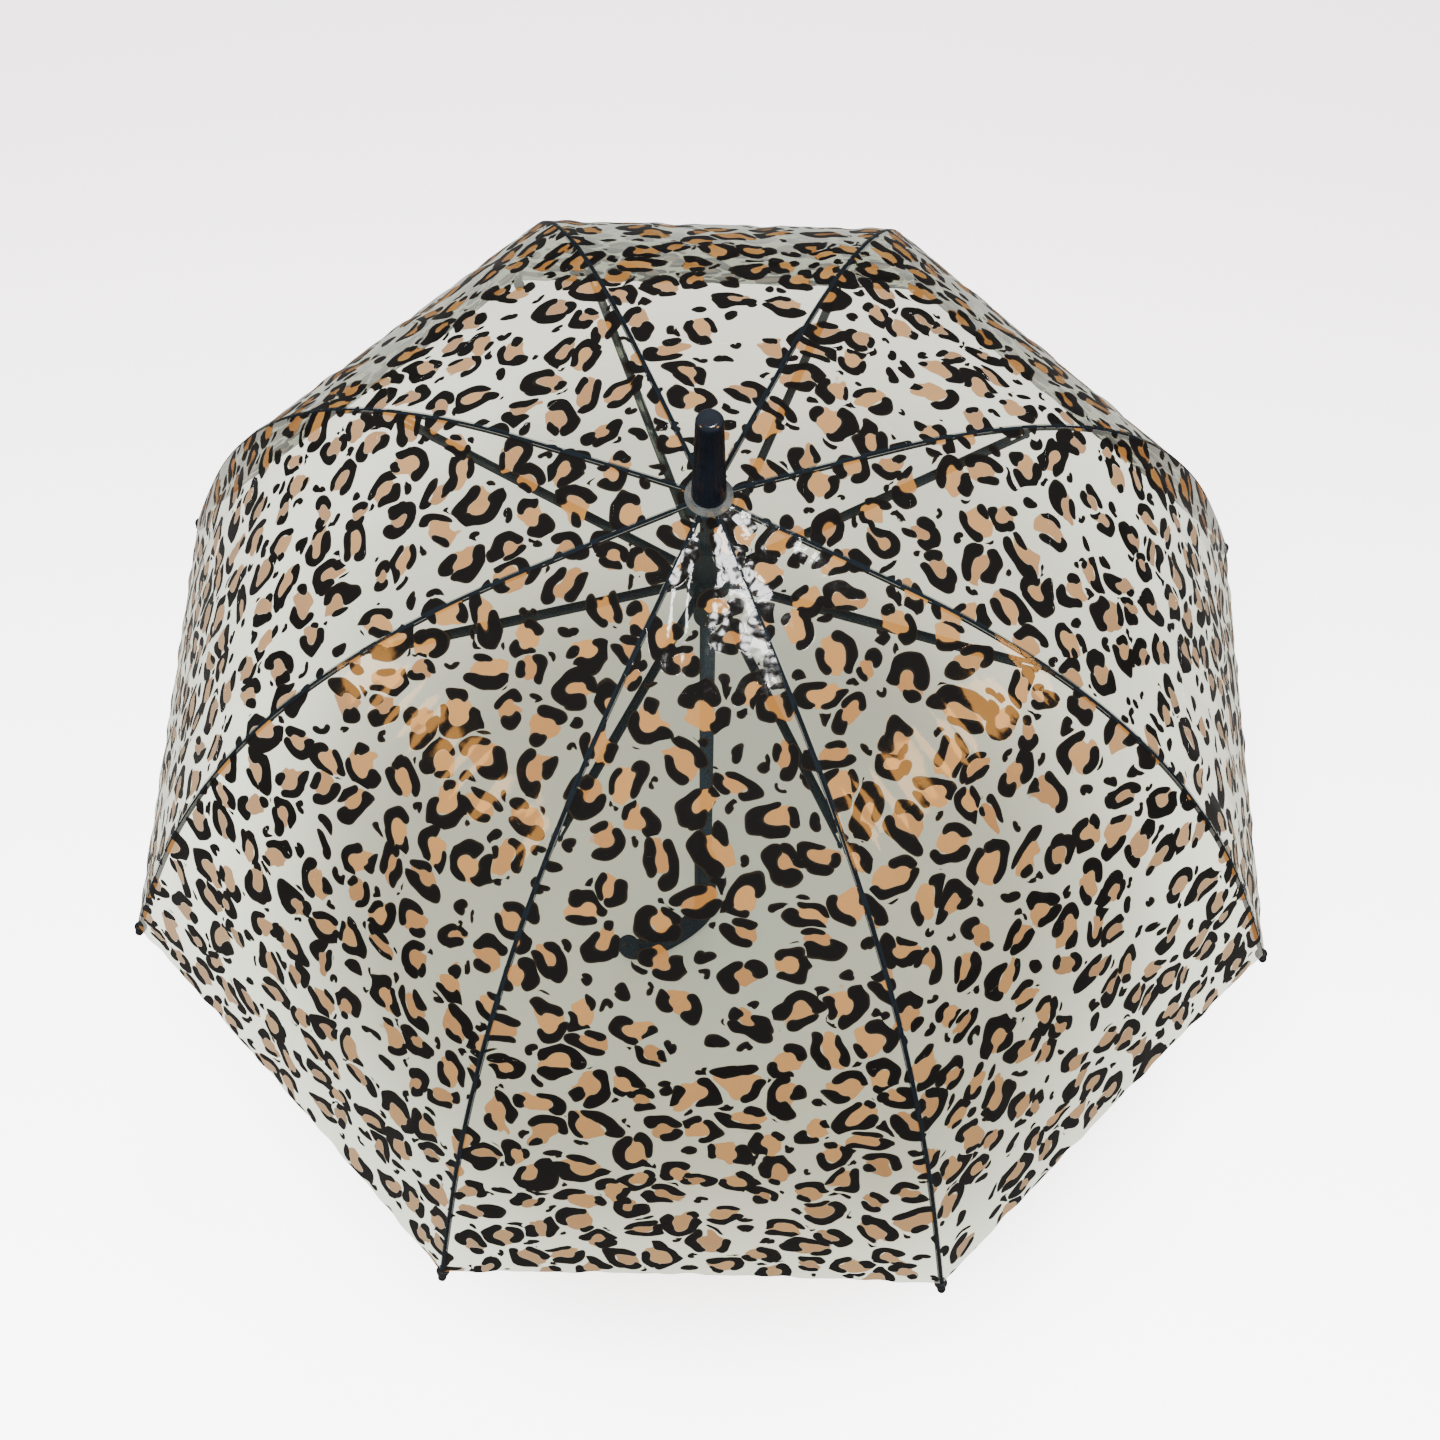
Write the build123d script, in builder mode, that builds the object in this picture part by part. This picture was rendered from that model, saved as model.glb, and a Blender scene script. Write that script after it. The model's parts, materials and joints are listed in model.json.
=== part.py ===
import os
from math import atan2, cos, degrees, hypot, radians, sin, sqrt

from build123d import *

os.makedirs("parts", exist_ok=True)

# A dome umbrella, open. +Z runs up the shaft to the ferrule, -Y is the front,
# and the origin is the middle of the straight hand grip. Lengths are in mm.
RIB_COUNT = 8
HUB_Z = 620.0  # height of the circle of rib hinges
HINGE_R = 11.5  # radius of the rib hinges, and of the stretchers' inner eyes

# A rib is five tangent arcs of equal length. The slopes are degrees below
# horizontal where the arcs start and end.
RIB_ARC = 108.8
RIB_SLOPES = (7.0, 9.1, 29.9, 52.3, 65.2, 69.0)
RIB_WIRE_R = 1.6
RIB_START = 6.0  # the round wire begins here, outside the top notch
RIB_END = 539.0
FLEX_1 = 203.0  # where the inner and middle lengths of a rib meet
FLEX_2 = 330.0  # where the middle and outer lengths meet
FLEX_GAP = 1.0
BLADE_HALF = 0.8  # half the thickness of a flattened rib end
EYE_R = 1.9
EYE_HOLE_R = 0.58
NOTCH_WIRE_R = 0.5

KNEE_AT = 194.0  # distance along the rib of the stretcher's pivot
KNEE_OFFSET = 4.4  # from the rib's centreline in to that pivot
RIVET_R = 0.8
RIVET_HOLE_R = 0.86
STRETCHER_W = 4.6
STRETCHER_H = 4.0
STRETCHER_WALL = 0.8
EAR_L = 9.0  # the channel's web stops this far from the knee
CLIP_AT = 272.0
CLIP_R = 1.9
BRACKET_R = 1.9

TIP_START = 533.5
TIP_COLLAR_R = 4.1
TIP_NECK_R = 2.2
TIP_BALL_R = 2.75
TIP_LENGTH = 12.0
TIP_EDGE_R = TIP_COLLAR_R - TIP_NECK_R
BALL_AT = TIP_LENGTH - TIP_BALL_R
BALL_RUN = sqrt(TIP_BALL_R**2 - TIP_NECK_R**2)

SHAFT_R = 5.0
SHAFT_BORE_R = 4.2
SHAFT_TOP = HUB_Z + 30.0
SHAFT_BOTTOM = -25.0

NOTCH_R = 14.5
NOTCH_TOP = HUB_Z + 1.6
NOTCH_BOTTOM = HUB_Z - 3.2
NOTCH_SLOT_W = 2.0
NOTCH_SLOT_R = 8.6

WASHER_Z = HUB_Z + 2.9
WASHER_R = 13.5
FERRULE_Z = HUB_Z + 5.4
FERRULE_TOP = HUB_Z + 80.0
FERRULE_BASE_R = 9.8
FERRULE_TOP_R = 7.45

RUNNER_BORE_R = 5.08
RUNNER_TOP = HUB_Z - 47.0
RUNNER_BOTTOM = HUB_Z - 140.0
RUNNER_R = 8.8
CROWN_R = 15.0
CROWN_HALF = 4.6
CROWN_SLOT_W = 5.4
CROWN_SLOT_R = 9.1
KEYWAY_W = 3.0
KEYWAY_R = 7.8

CATCH_T = 1.6
CATCH_REACH = 7.4  # radius that a catch stands out to
CATCH_SLOT_W = 2.0
UPPER_CATCH_Z = RUNNER_BOTTOM - 1.0  # top of the upper catch, under the open runner
LOWER_CATCH_Z = RUNNER_BOTTOM - 297.0  # and of the lower, under the closed runner

HANDLE_R = 9.0
HANDLE_TOP = 60.0
GRIP_BOTTOM = -57.0
HOOK_R = 37.0
HOOK_TURN = 210.0  # direction that the hook goes in, degrees from +X

FILM_INSET = 2.2  # from the rib's centreline out to the film's inner face
FILM_T = 0.3
FILM_FROM = -2.0
FILM_TO = 532.0
FILM_STEPS = 22
FILM_REACH = 200.0
GORE_ANGLE = 360.0 / RIB_COUNT


def rib_point(s):
    """Radius, height and slope in radians of a rib's centreline, s along it from its hinge."""
    r = HINGE_R
    z = HUB_Z
    if s <= 0:
        slope = radians(RIB_SLOPES[0])
        return r + s * cos(slope), z - s * sin(slope), slope
    left = s
    slope = 0.0
    for first, last in zip(RIB_SLOPES, RIB_SLOPES[1:]):
        start = radians(first)
        bend = (radians(last) - start) / RIB_ARC
        run = min(left, RIB_ARC)
        slope = start + bend * run
        r += (sin(slope) - sin(start)) / bend
        z -= (cos(start) - cos(slope)) / bend
        left -= run
        if left <= 0:
            break
    return r, z, slope


def rib_spot(s, inward=0.0):
    """Radius and height of a point that stands inward from the rib's centreline."""
    r, z, slope = rib_point(s)
    return r - inward * sin(slope), z - inward * cos(slope)


def rib_azimuth(index):
    """Degrees from the front, -Y, round to a rib."""
    return GORE_ANGLE * (index + 0.5)


def radial_plane(azimuth):
    """The plane through the axis and a rib, whose x is radius and y is height."""
    a = radians(azimuth)
    return Plane(
        origin=(0, 0, 0),
        x_dir=(sin(a), -cos(a), 0),
        z_dir=(-cos(a), -sin(a), 0),
    )


def wire(azimuth, first, last, mode=Mode.ADD):
    """A round wire along a rib, in the open BuildPart."""
    ends = [first]
    for k in range(1, len(RIB_SLOPES) - 1):
        if first < k * RIB_ARC < last:
            ends.append(k * RIB_ARC)
    ends.append(last)
    with BuildLine(radial_plane(azimuth)) as path:
        for a, b in zip(ends, ends[1:]):
            ThreePointArc(rib_spot(a), rib_spot((a + b) / 2), rib_spot(b))
    with BuildSketch(Plane(origin=path.line @ 0, z_dir=path.line % 0)) as section:
        Circle(RIB_WIRE_R)
    sweep(sections=section.sketch, path=path.line, mode=mode)


def along_rib(azimuth, s):
    """A plane across the rib at s, whose normal runs along the rib away from the hinge."""
    plane = radial_plane(azimuth)
    r, z, slope = rib_point(s)
    outward = plane.x_dir * cos(slope) - Vector(0, 0, 1) * sin(slope)
    return Plane(origin=plane.from_local_coords((r, z, 0)), z_dir=outward)


KNEE = rib_spot(KNEE_AT, KNEE_OFFSET)
RUNNER_PIVOT_Z = 2 * KNEE[1] - HUB_Z  # both arms of the linkage are the same length
STRETCHER_L = hypot(KNEE[0] - HINGE_R, KNEE[1] - RUNNER_PIVOT_Z)
STRETCHER_RISE = degrees(atan2(KNEE[1] - RUNNER_PIVOT_Z, KNEE[0] - HINGE_R))


# Shaft: a tube with a slot for each catch.
with BuildPart() as shaft_tube:
    with BuildSketch(Plane.XY.offset(SHAFT_BOTTOM)):
        Circle(SHAFT_R)
        Circle(SHAFT_BORE_R, mode=Mode.SUBTRACT)
    extrude(amount=SHAFT_TOP - SHAFT_BOTTOM)
    for top in (UPPER_CATCH_Z, LOWER_CATCH_Z):
        with BuildSketch(Plane.XY.offset(top + 0.5)):
            with Locations((SHAFT_R, 0)):
                Rectangle(6.0, CATCH_SLOT_W)
        extrude(amount=-15.0, mode=Mode.SUBTRACT)
shaft_tube.part.label = "shaft_tube"
export_step(shaft_tube.part, "parts/shaft_tube.step")

# Catches: flat sprung plates that stand out of the shaft under the runner.
for name, top in (("upper_catch", UPPER_CATCH_Z), ("lower_catch", LOWER_CATCH_Z)):
    with BuildPart() as catch:
        with BuildSketch(Plane.XZ):
            with BuildLine():
                Polyline(
                    (1.2, top + 3.0),
                    (3.7, top + 3.0),
                    (3.7, top),
                    (CATCH_REACH, top),
                    (CATCH_REACH, top - 2.0),
                    (4.6, top - 14.0),
                    (3.7, top - 14.0),
                    (3.7, top - 17.0),
                    (1.2, top - 17.0),
                    close=True,
                )
            make_face()
        extrude(amount=CATCH_T / 2, both=True)
    catch.part.label = name
    export_step(catch.part, f"parts/{name}.step")

# Top notch: the slotted disc that the ribs hinge in, on its ring of wire.
with BuildPart() as top_notch:
    with BuildSketch(Plane.XY.offset(NOTCH_BOTTOM)):
        Circle(NOTCH_R)
        Circle(SHAFT_R, mode=Mode.SUBTRACT)
    extrude(amount=NOTCH_TOP - NOTCH_BOTTOM)
    for i in range(RIB_COUNT):
        with BuildSketch(radial_plane(rib_azimuth(i))):
            with Locations(((NOTCH_SLOT_R + NOTCH_R + 1) / 2, HUB_Z)):
                Rectangle(NOTCH_R + 1 - NOTCH_SLOT_R, 20.0)
        extrude(amount=NOTCH_SLOT_W / 2, both=True, mode=Mode.SUBTRACT)
    with BuildSketch(Plane.XZ):
        with Locations((HINGE_R, HUB_Z)):
            Circle(NOTCH_WIRE_R)
    revolve(axis=Axis.Z, mode=Mode.SUBTRACT)
top_notch.part.label = "top_notch"
export_step(top_notch.part, "parts/top_notch.step")

with BuildPart() as notch_wire:
    with BuildSketch(Plane.XZ):
        with Locations((HINGE_R, HUB_Z)):
            Circle(NOTCH_WIRE_R)
    revolve(axis=Axis.Z)
notch_wire.part.label = "notch_wire"
export_step(notch_wire.part, "parts/notch_wire.step")

with BuildPart() as ferrule_washer:
    with BuildSketch(Plane.XZ):
        with BuildLine():
            Polyline(
                (SHAFT_R, WASHER_Z),
                (WASHER_R, WASHER_Z),
                (WASHER_R, WASHER_Z + 1.2),
                (WASHER_R - 2.0, FERRULE_Z),
                (SHAFT_R, FERRULE_Z),
                close=True,
            )
        make_face()
    revolve(axis=Axis.Z)
ferrule_washer.part.label = "ferrule_washer"
export_step(ferrule_washer.part, "parts/ferrule_washer.step")

# Ferrule: the tapered spike on top, bored for the shaft.
with BuildPart() as ferrule:
    with BuildSketch(Plane.XZ):
        with BuildLine():
            Polyline(
                (0, FERRULE_Z),
                (FERRULE_BASE_R, FERRULE_Z),
                (FERRULE_TOP_R, FERRULE_TOP),
                (0, FERRULE_TOP),
                close=True,
            )
        make_face()
    revolve(axis=Axis.Z)
    fillet(ferrule.edges().filter_by(GeomType.CIRCLE).group_by(Axis.Z)[-1], radius=3.0)
    fillet(ferrule.edges().filter_by(GeomType.CIRCLE).group_by(Axis.Z)[0], radius=1.2)
    with BuildSketch(Plane.XY.offset(FERRULE_Z)):
        Circle(SHAFT_R)
    extrude(amount=SHAFT_TOP - FERRULE_Z, mode=Mode.SUBTRACT)
ferrule.part.label = "ferrule"
export_step(ferrule.part, "parts/ferrule.step")

# Handle: a straight grip, domed at the top, that turns into a round hook.
hook_plane = Plane(
    origin=(0, 0, 0),
    x_dir=(cos(radians(HOOK_TURN)), sin(radians(HOOK_TURN)), 0),
    z_dir=(sin(radians(HOOK_TURN)), -cos(radians(HOOK_TURN)), 0),
)
with BuildPart() as handle:
    with BuildSketch(Plane.XY.offset(GRIP_BOTTOM)):
        Circle(HANDLE_R)
    extrude(amount=HANDLE_TOP - GRIP_BOTTOM)
    fillet(handle.edges().group_by(Axis.Z)[-1], radius=3.9)
    with BuildLine(hook_plane) as hook_path:
        ThreePointArc(
            (0, GRIP_BOTTOM),
            (HOOK_R, GRIP_BOTTOM - HOOK_R),
            (2 * HOOK_R, GRIP_BOTTOM),
        )
    with BuildSketch(Plane.XY.offset(GRIP_BOTTOM)):
        Circle(HANDLE_R)
    sweep(path=hook_path.line)
    with Locations(hook_plane.from_local_coords((2 * HOOK_R, GRIP_BOTTOM, 0))):
        Sphere(HANDLE_R)
    with BuildSketch(Plane.XY.offset(SHAFT_BOTTOM)):
        Circle(SHAFT_R)
    extrude(amount=HANDLE_TOP + 1 - SHAFT_BOTTOM, mode=Mode.SUBTRACT)
handle.part.label = "handle"
export_step(handle.part, "parts/handle.step")

# Runner: a sleeve with a slotted crown. The keyway lets the catches pass.
with BuildPart() as runner:
    with BuildSketch(Plane.XZ):
        with BuildLine():
            Polyline(
                (RUNNER_BORE_R, RUNNER_BOTTOM),
                (RUNNER_R - 0.8, RUNNER_BOTTOM),
                (RUNNER_R, RUNNER_BOTTOM + 1.5),
                (RUNNER_R, RUNNER_PIVOT_Z - CROWN_HALF),
                (CROWN_R, RUNNER_PIVOT_Z - CROWN_HALF),
                (CROWN_R, RUNNER_PIVOT_Z + CROWN_HALF),
                (RUNNER_R, RUNNER_PIVOT_Z + CROWN_HALF),
                (RUNNER_R, RUNNER_TOP - 1.5),
                (RUNNER_R - 0.8, RUNNER_TOP),
                (RUNNER_BORE_R, RUNNER_TOP),
                close=True,
            )
        make_face()
    revolve(axis=Axis.Z)
    for i in range(RIB_COUNT):
        with BuildSketch(radial_plane(rib_azimuth(i))):
            with Locations(((CROWN_SLOT_R + CROWN_R + 1) / 2, RUNNER_PIVOT_Z)):
                Rectangle(CROWN_R + 1 - CROWN_SLOT_R, 2 * CROWN_HALF + 2)
        extrude(amount=CROWN_SLOT_W / 2, both=True, mode=Mode.SUBTRACT)
    with BuildSketch(Plane.XY.offset(RUNNER_BOTTOM - 1)):
        with Locations((KEYWAY_R / 2, 0)):
            Rectangle(KEYWAY_R, KEYWAY_W)
    extrude(amount=RUNNER_TOP - RUNNER_BOTTOM + 2, mode=Mode.SUBTRACT)
runner.part.label = "runner"
export_step(runner.part, "parts/runner.step")

for i in range(RIB_COUNT):
    turn = rib_azimuth(i)
    plane = radial_plane(turn)
    number = i + 1

    # Inner length of the rib, with its eye in the notch.
    with BuildPart() as rib:
        wire(turn, RIB_START, FLEX_1 - FLEX_GAP / 2)
        with BuildSketch(plane):
            with Locations(rib_spot(0)):
                Circle(EYE_R)
            with Locations(rib_spot(4.5)):
                Rectangle(9.0, 3.0, rotation=-RIB_SLOPES[0])
            with Locations(rib_spot(0)):
                Circle(EYE_HOLE_R, mode=Mode.SUBTRACT)
        extrude(amount=BLADE_HALF, both=True)
    rib.part.label = f"rib_inner_{number}"
    export_step(rib.part, f"parts/rib_inner_{number}.step")

    # Knee bracket: a sleeve crimped on the rib, a plate below it, and the rivet
    # that the stretcher turns on.
    with BuildPart() as bracket:
        with BuildSketch(along_rib(turn, KNEE_AT)):
            Circle(BRACKET_R)
        extrude(amount=5.0, both=True)
        with BuildSketch(plane):
            with BuildLine():
                Polyline(
                    rib_spot(KNEE_AT - 5.0),
                    rib_spot(KNEE_AT + 5.0),
                    rib_spot(KNEE_AT + 1.6, KNEE_OFFSET + 0.6),
                    rib_spot(KNEE_AT - 1.6, KNEE_OFFSET + 0.6),
                    close=True,
                )
            make_face()
            with Locations(KNEE):
                Circle(EYE_R)
        extrude(amount=BLADE_HALF, both=True)
        with BuildSketch(plane):
            with Locations(KNEE):
                Circle(RIVET_R)
        extrude(amount=STRETCHER_W / 2 + 0.7, both=True)
        for side in (-1, 1):
            with BuildSketch(plane.offset(side * (STRETCHER_W / 2 + 0.15))):
                with Locations(KNEE):
                    Circle(1.5)
            extrude(amount=side * 0.55)
        wire(turn, KNEE_AT - 8.0, KNEE_AT + 8.0, mode=Mode.SUBTRACT)
    bracket.part.label = f"knee_bracket_{number}"
    export_step(bracket.part, f"parts/knee_bracket_{number}.step")

    # Middle length, with the clip that the film is tied to.
    with BuildPart() as middle:
        wire(turn, FLEX_1 + FLEX_GAP / 2, FLEX_2 - FLEX_GAP / 2)
        with BuildSketch(along_rib(turn, CLIP_AT)):
            Circle(CLIP_R)
        extrude(amount=1.5, both=True)
    middle.part.label = f"rib_middle_{number}"
    export_step(middle.part, f"parts/rib_middle_{number}.step")

    with BuildPart() as outer:
        wire(turn, FLEX_2 + FLEX_GAP / 2, RIB_END)
    outer.part.label = f"rib_outer_{number}"
    export_step(outer.part, f"parts/rib_outer_{number}.step")

    # Tip: a round-edged collar, a neck and a ball end, pushed on the end of the wire.
    across = along_rib(turn, TIP_START)
    lengthwise = Plane(origin=across.origin, x_dir=across.z_dir, z_dir=plane.z_dir)
    with BuildPart() as tip:
        with BuildSketch(lengthwise):
            with BuildLine():
                ThreePointArc(
                    (0, TIP_NECK_R),
                    (TIP_EDGE_R, TIP_COLLAR_R),
                    (2 * TIP_EDGE_R, TIP_NECK_R),
                )
                Line((2 * TIP_EDGE_R, TIP_NECK_R), (BALL_AT - BALL_RUN, TIP_NECK_R))
                ThreePointArc(
                    (BALL_AT - BALL_RUN, TIP_NECK_R),
                    (BALL_AT, TIP_BALL_R),
                    (TIP_LENGTH, 0),
                )
                Polyline((TIP_LENGTH, 0), (0, 0), (0, TIP_NECK_R))
            make_face()
        revolve(axis=Axis(across.origin, across.z_dir))
        wire(turn, TIP_START - 1.0, RIB_END, mode=Mode.SUBTRACT)
    tip.part.label = f"rib_tip_{number}"
    export_step(tip.part, f"parts/rib_tip_{number}.step")

    # Stretcher: a channel, open on top, with ears that hold the knee's rivet.
    # Its inner eye is the pivot that stays open in the runner's crown.
    middle_spot = ((KNEE[0] + HINGE_R) / 2, (KNEE[1] + RUNNER_PIVOT_Z) / 2)
    channel = Plane(
        origin=plane.from_local_coords((middle_spot[0], middle_spot[1], 0)),
        x_dir=plane.x_dir * cos(radians(STRETCHER_RISE))
        + Vector(0, 0, 1) * sin(radians(STRETCHER_RISE)),
        z_dir=plane.z_dir,
    )
    with BuildPart() as stretcher:
        with BuildSketch(channel):
            SlotCenterToCenter(STRETCHER_L, STRETCHER_H)
        extrude(amount=STRETCHER_W / 2, both=True)
        with BuildSketch(channel):
            with Locations((0, STRETCHER_WALL)):
                Rectangle(STRETCHER_L + 8.0, STRETCHER_H)
            with Locations((STRETCHER_L / 2, 0)):
                Rectangle(EAR_L * 2, STRETCHER_H + 1.0)
        extrude(amount=STRETCHER_W / 2 - STRETCHER_WALL, both=True, mode=Mode.SUBTRACT)
        with BuildSketch(channel):
            with Locations((STRETCHER_L / 2, 0), (-STRETCHER_L / 2, 0)):
                Circle(RIVET_HOLE_R)
        extrude(amount=STRETCHER_W, both=True, mode=Mode.SUBTRACT)
    stretcher.part.label = f"stretcher_{number}"
    export_step(stretcher.part, f"parts/stretcher_{number}.step")

# One flat-sided gore of film: a thin strip swept straight across, cut to its wedge.
inner_face = []
outer_face = []
for k in range(FILM_STEPS + 1):
    r, z, slope = rib_point(FILM_FROM + (FILM_TO - FILM_FROM) * k / FILM_STEPS)
    narrow = cos(radians(GORE_ANGLE / 2))
    lean = atan2(sin(slope), cos(slope) * narrow)
    for face, inset in ((inner_face, FILM_INSET), (outer_face, FILM_INSET + FILM_T)):
        face.append((r * narrow + inset * sin(lean), z + inset * cos(lean)))
with BuildPart() as gore:
    with BuildSketch(radial_plane(0)):
        with BuildLine():
            Spline(*inner_face)
            Line(inner_face[-1], outer_face[-1])
            Spline(*outer_face)
            Line(outer_face[0], inner_face[0])
        make_face()
    extrude(amount=FILM_REACH, both=True)
    with BuildSketch(Plane.XY):
        with BuildLine():
            far = FILM_REACH * 3
            spread = far * sin(radians(GORE_ANGLE / 2)) / cos(radians(GORE_ANGLE / 2))
            Polyline((0, 0), (-spread, -far), (spread, -far), close=True)
        make_face()
    extrude(amount=HUB_Z + 50, mode=Mode.INTERSECT)

# The canopy is the eight gores welded at their seams.
with BuildPart() as canopy:
    for i in range(RIB_COUNT):
        add(gore.part, rotation=(0, 0, i * GORE_ANGLE))
canopy.part.label = "canopy"
export_step(canopy.part, "parts/canopy.step")
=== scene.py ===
"""The look of the clear dome umbrella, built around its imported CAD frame. Lengths are in metres."""

import json
import math

import bpy
from mathutils import Matrix, Vector


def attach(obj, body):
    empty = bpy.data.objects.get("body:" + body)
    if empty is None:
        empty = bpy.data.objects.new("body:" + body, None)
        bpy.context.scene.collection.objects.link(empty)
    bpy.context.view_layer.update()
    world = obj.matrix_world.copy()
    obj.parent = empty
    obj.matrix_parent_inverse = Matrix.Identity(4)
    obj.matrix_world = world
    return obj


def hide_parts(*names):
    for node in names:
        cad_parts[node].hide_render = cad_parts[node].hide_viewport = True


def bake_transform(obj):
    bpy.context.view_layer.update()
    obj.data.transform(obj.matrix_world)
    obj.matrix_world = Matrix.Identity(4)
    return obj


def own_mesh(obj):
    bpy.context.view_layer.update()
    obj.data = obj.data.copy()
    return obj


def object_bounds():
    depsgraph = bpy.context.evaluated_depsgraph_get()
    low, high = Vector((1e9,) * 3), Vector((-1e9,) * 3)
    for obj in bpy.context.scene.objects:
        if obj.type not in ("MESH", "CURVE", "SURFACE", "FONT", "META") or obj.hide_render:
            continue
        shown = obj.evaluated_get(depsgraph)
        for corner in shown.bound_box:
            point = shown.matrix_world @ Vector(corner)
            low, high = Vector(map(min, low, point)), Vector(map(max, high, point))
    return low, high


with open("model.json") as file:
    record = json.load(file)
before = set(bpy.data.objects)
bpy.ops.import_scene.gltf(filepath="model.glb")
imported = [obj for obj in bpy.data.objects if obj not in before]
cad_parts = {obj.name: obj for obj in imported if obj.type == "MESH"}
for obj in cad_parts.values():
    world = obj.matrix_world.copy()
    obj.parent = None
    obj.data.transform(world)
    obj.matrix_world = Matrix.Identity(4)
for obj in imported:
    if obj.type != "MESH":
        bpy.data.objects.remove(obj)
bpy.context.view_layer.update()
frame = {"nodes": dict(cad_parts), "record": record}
joints = {j["name"]: j for j in frame["record"]["behaviour"]["joints"]}

# ---------------------------------------------------------------- the ribs' curve
# Places on a rib are lengths along its centreline from its hinge.
RIBS = 8
ARC = 0.1088  # length of each of a rib's five tangent arcs
SLOPES = (7.0, 9.1, 29.9, 52.3, 65.2, 69.0)  # degrees below level where the arcs meet
ROD_R = 0.0016
ROD_START, ROD_JOIN, ROD_END = -0.0019, 0.2665, 0.539
FLEX_1, FLEX_2 = 0.203, 0.330  # where the rod bends when the umbrella closes
BEND_1, BEND_2 = (0.200, 0.232), (0.300, 0.360)  # lengths of rod that the bends are spread over
EYE_TO, EYE_FADE = 0.006, 0.004  # the flattened hub end, and how fast it becomes round
CLIP_AT, CLIP_R, CLIP_HALF = 0.272, 0.0019, 0.0015
FILM_OFF = 0.00235  # height of the film above the rib's centreline
FILM_FROM, FILM_TO = -0.002, 0.532
HALF = math.radians(180.0 / RIBS)  # half the angle between two ribs

hinge = joints["rib_1_hinge"]["pos_m"]
HINGE_R = math.hypot(hinge[0], hinge[1])
HUB_Z = hinge[2]


def rib_point(s):
    """Radius, height and downward slope of a rib's centreline, s along it from its hinge."""
    r, z = HINGE_R, HUB_Z
    if s <= 0:
        a = math.radians(SLOPES[0])
        return r + s * math.cos(a), z - s * math.sin(a), a
    left, slope = s, 0.0
    for first, last in zip(SLOPES, SLOPES[1:]):
        start = math.radians(first)
        bend = (math.radians(last) - start) / ARC
        run = min(left, ARC)
        slope = start + bend * run
        r += (math.sin(slope) - math.sin(start)) / bend
        z -= (math.cos(start) - math.cos(slope)) / bend
        left -= run
        if left <= 0:
            break
    return r, z, slope


def axes(azimuth):
    """Outward and sideways unit vectors at an azimuth from the front."""
    return (
        Vector((math.sin(azimuth), -math.cos(azimuth), 0)),
        Vector((math.cos(azimuth), math.sin(azimuth), 0)),
    )


def rib_azimuth(number):
    """Angle of a rib round the shaft, from the front. Gore 0 is in front, between ribs 8 and 1."""
    return 2 * HALF * (number - 0.5)


def on_rib(number, s):
    """The point at s on a rib's centreline."""
    r, z, _ = rib_point(s)
    rho, _ = axes(rib_azimuth(number))
    return rho * r + Vector((0, 0, z))


# ---------------------------------------------------------------- material helpers
class Net:
    """Short names for building one material's nodes."""

    def __init__(self, name):
        self.mat = bpy.data.materials.new(name)
        self.mat.use_nodes = True
        self.tree = self.mat.node_tree
        self.tree.nodes.clear()

    def put(self, socket, value):
        if hasattr(value, "is_output"):
            self.tree.links.new(value, socket)
        else:
            socket.default_value = value

    def node(self, kind, **props):
        n = self.tree.nodes.new(kind)
        for k, v in props.items():
            setattr(n, k, v)
        return n

    def math(self, op, a, b=None, c=None):
        n = self.node("ShaderNodeMath", operation=op)
        for i, v in enumerate((a, b, c)):
            if v is not None:
                self.put(n.inputs[i], v)
        return n.outputs[0]

    def vec(self, op, a, b=None, scale=None):
        n = self.node("ShaderNodeVectorMath", operation=op)
        self.put(n.inputs[0], a)
        if b is not None:
            self.put(n.inputs[1], b)
        if scale is not None:
            self.put(n.inputs["Scale"], scale)
        return n.outputs["Value"] if op == "LENGTH" else n.outputs[0]

    def ramp(self, value, low, high, to_low=0.0, to_high=1.0, smooth=True):
        n = self.node("ShaderNodeMapRange")
        n.interpolation_type = "SMOOTHSTEP" if smooth else "LINEAR"
        for i, v in enumerate((value, low, high, to_low, to_high)):
            self.put(n.inputs[i], v)
        return n.outputs[0]

    def noise(self, vector, scale, detail=2.0, rough=0.5):
        n = self.node("ShaderNodeTexNoise", noise_dimensions="3D")
        self.put(n.inputs["Vector"], vector)
        self.put(n.inputs["Scale"], scale)
        self.put(n.inputs["Detail"], detail)
        self.put(n.inputs["Roughness"], rough)
        return n.outputs

    def mix_colour(self, factor, a, b):
        n = self.node("ShaderNodeMix", data_type="RGBA")
        self.put(n.inputs["Factor"], factor)
        self.put(n.inputs[6], a)
        self.put(n.inputs[7], b)
        return n.outputs[2]

    def mix_shader(self, factor, a, b):
        n = self.node("ShaderNodeMixShader")
        for i, v in enumerate((factor, a, b)):
            self.put(n.inputs[i], v)
        return n.outputs[0]

    def bump(self, height, strength, distance):
        n = self.node("ShaderNodeBump")
        self.put(n.inputs["Strength"], strength)
        self.put(n.inputs["Distance"], distance)
        self.put(n.inputs["Height"], height)
        return n.outputs[0]

    def finish(self, shader):
        out = self.node("ShaderNodeOutputMaterial")
        self.tree.links.new(shader, out.inputs["Surface"])
        return self.mat


def coords(net):
    """Places on a piece, in the object's own metres."""
    return net.node("ShaderNodeTexCoord").outputs["Object"]


def stretched(net, vector, factors):
    """The vector scaled along its axes, for a texture with a grain."""
    n = net.node("ShaderNodeMapping")
    net.put(n.inputs["Vector"], vector)
    net.put(n.inputs["Scale"], factors)
    return n.outputs[0]


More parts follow.
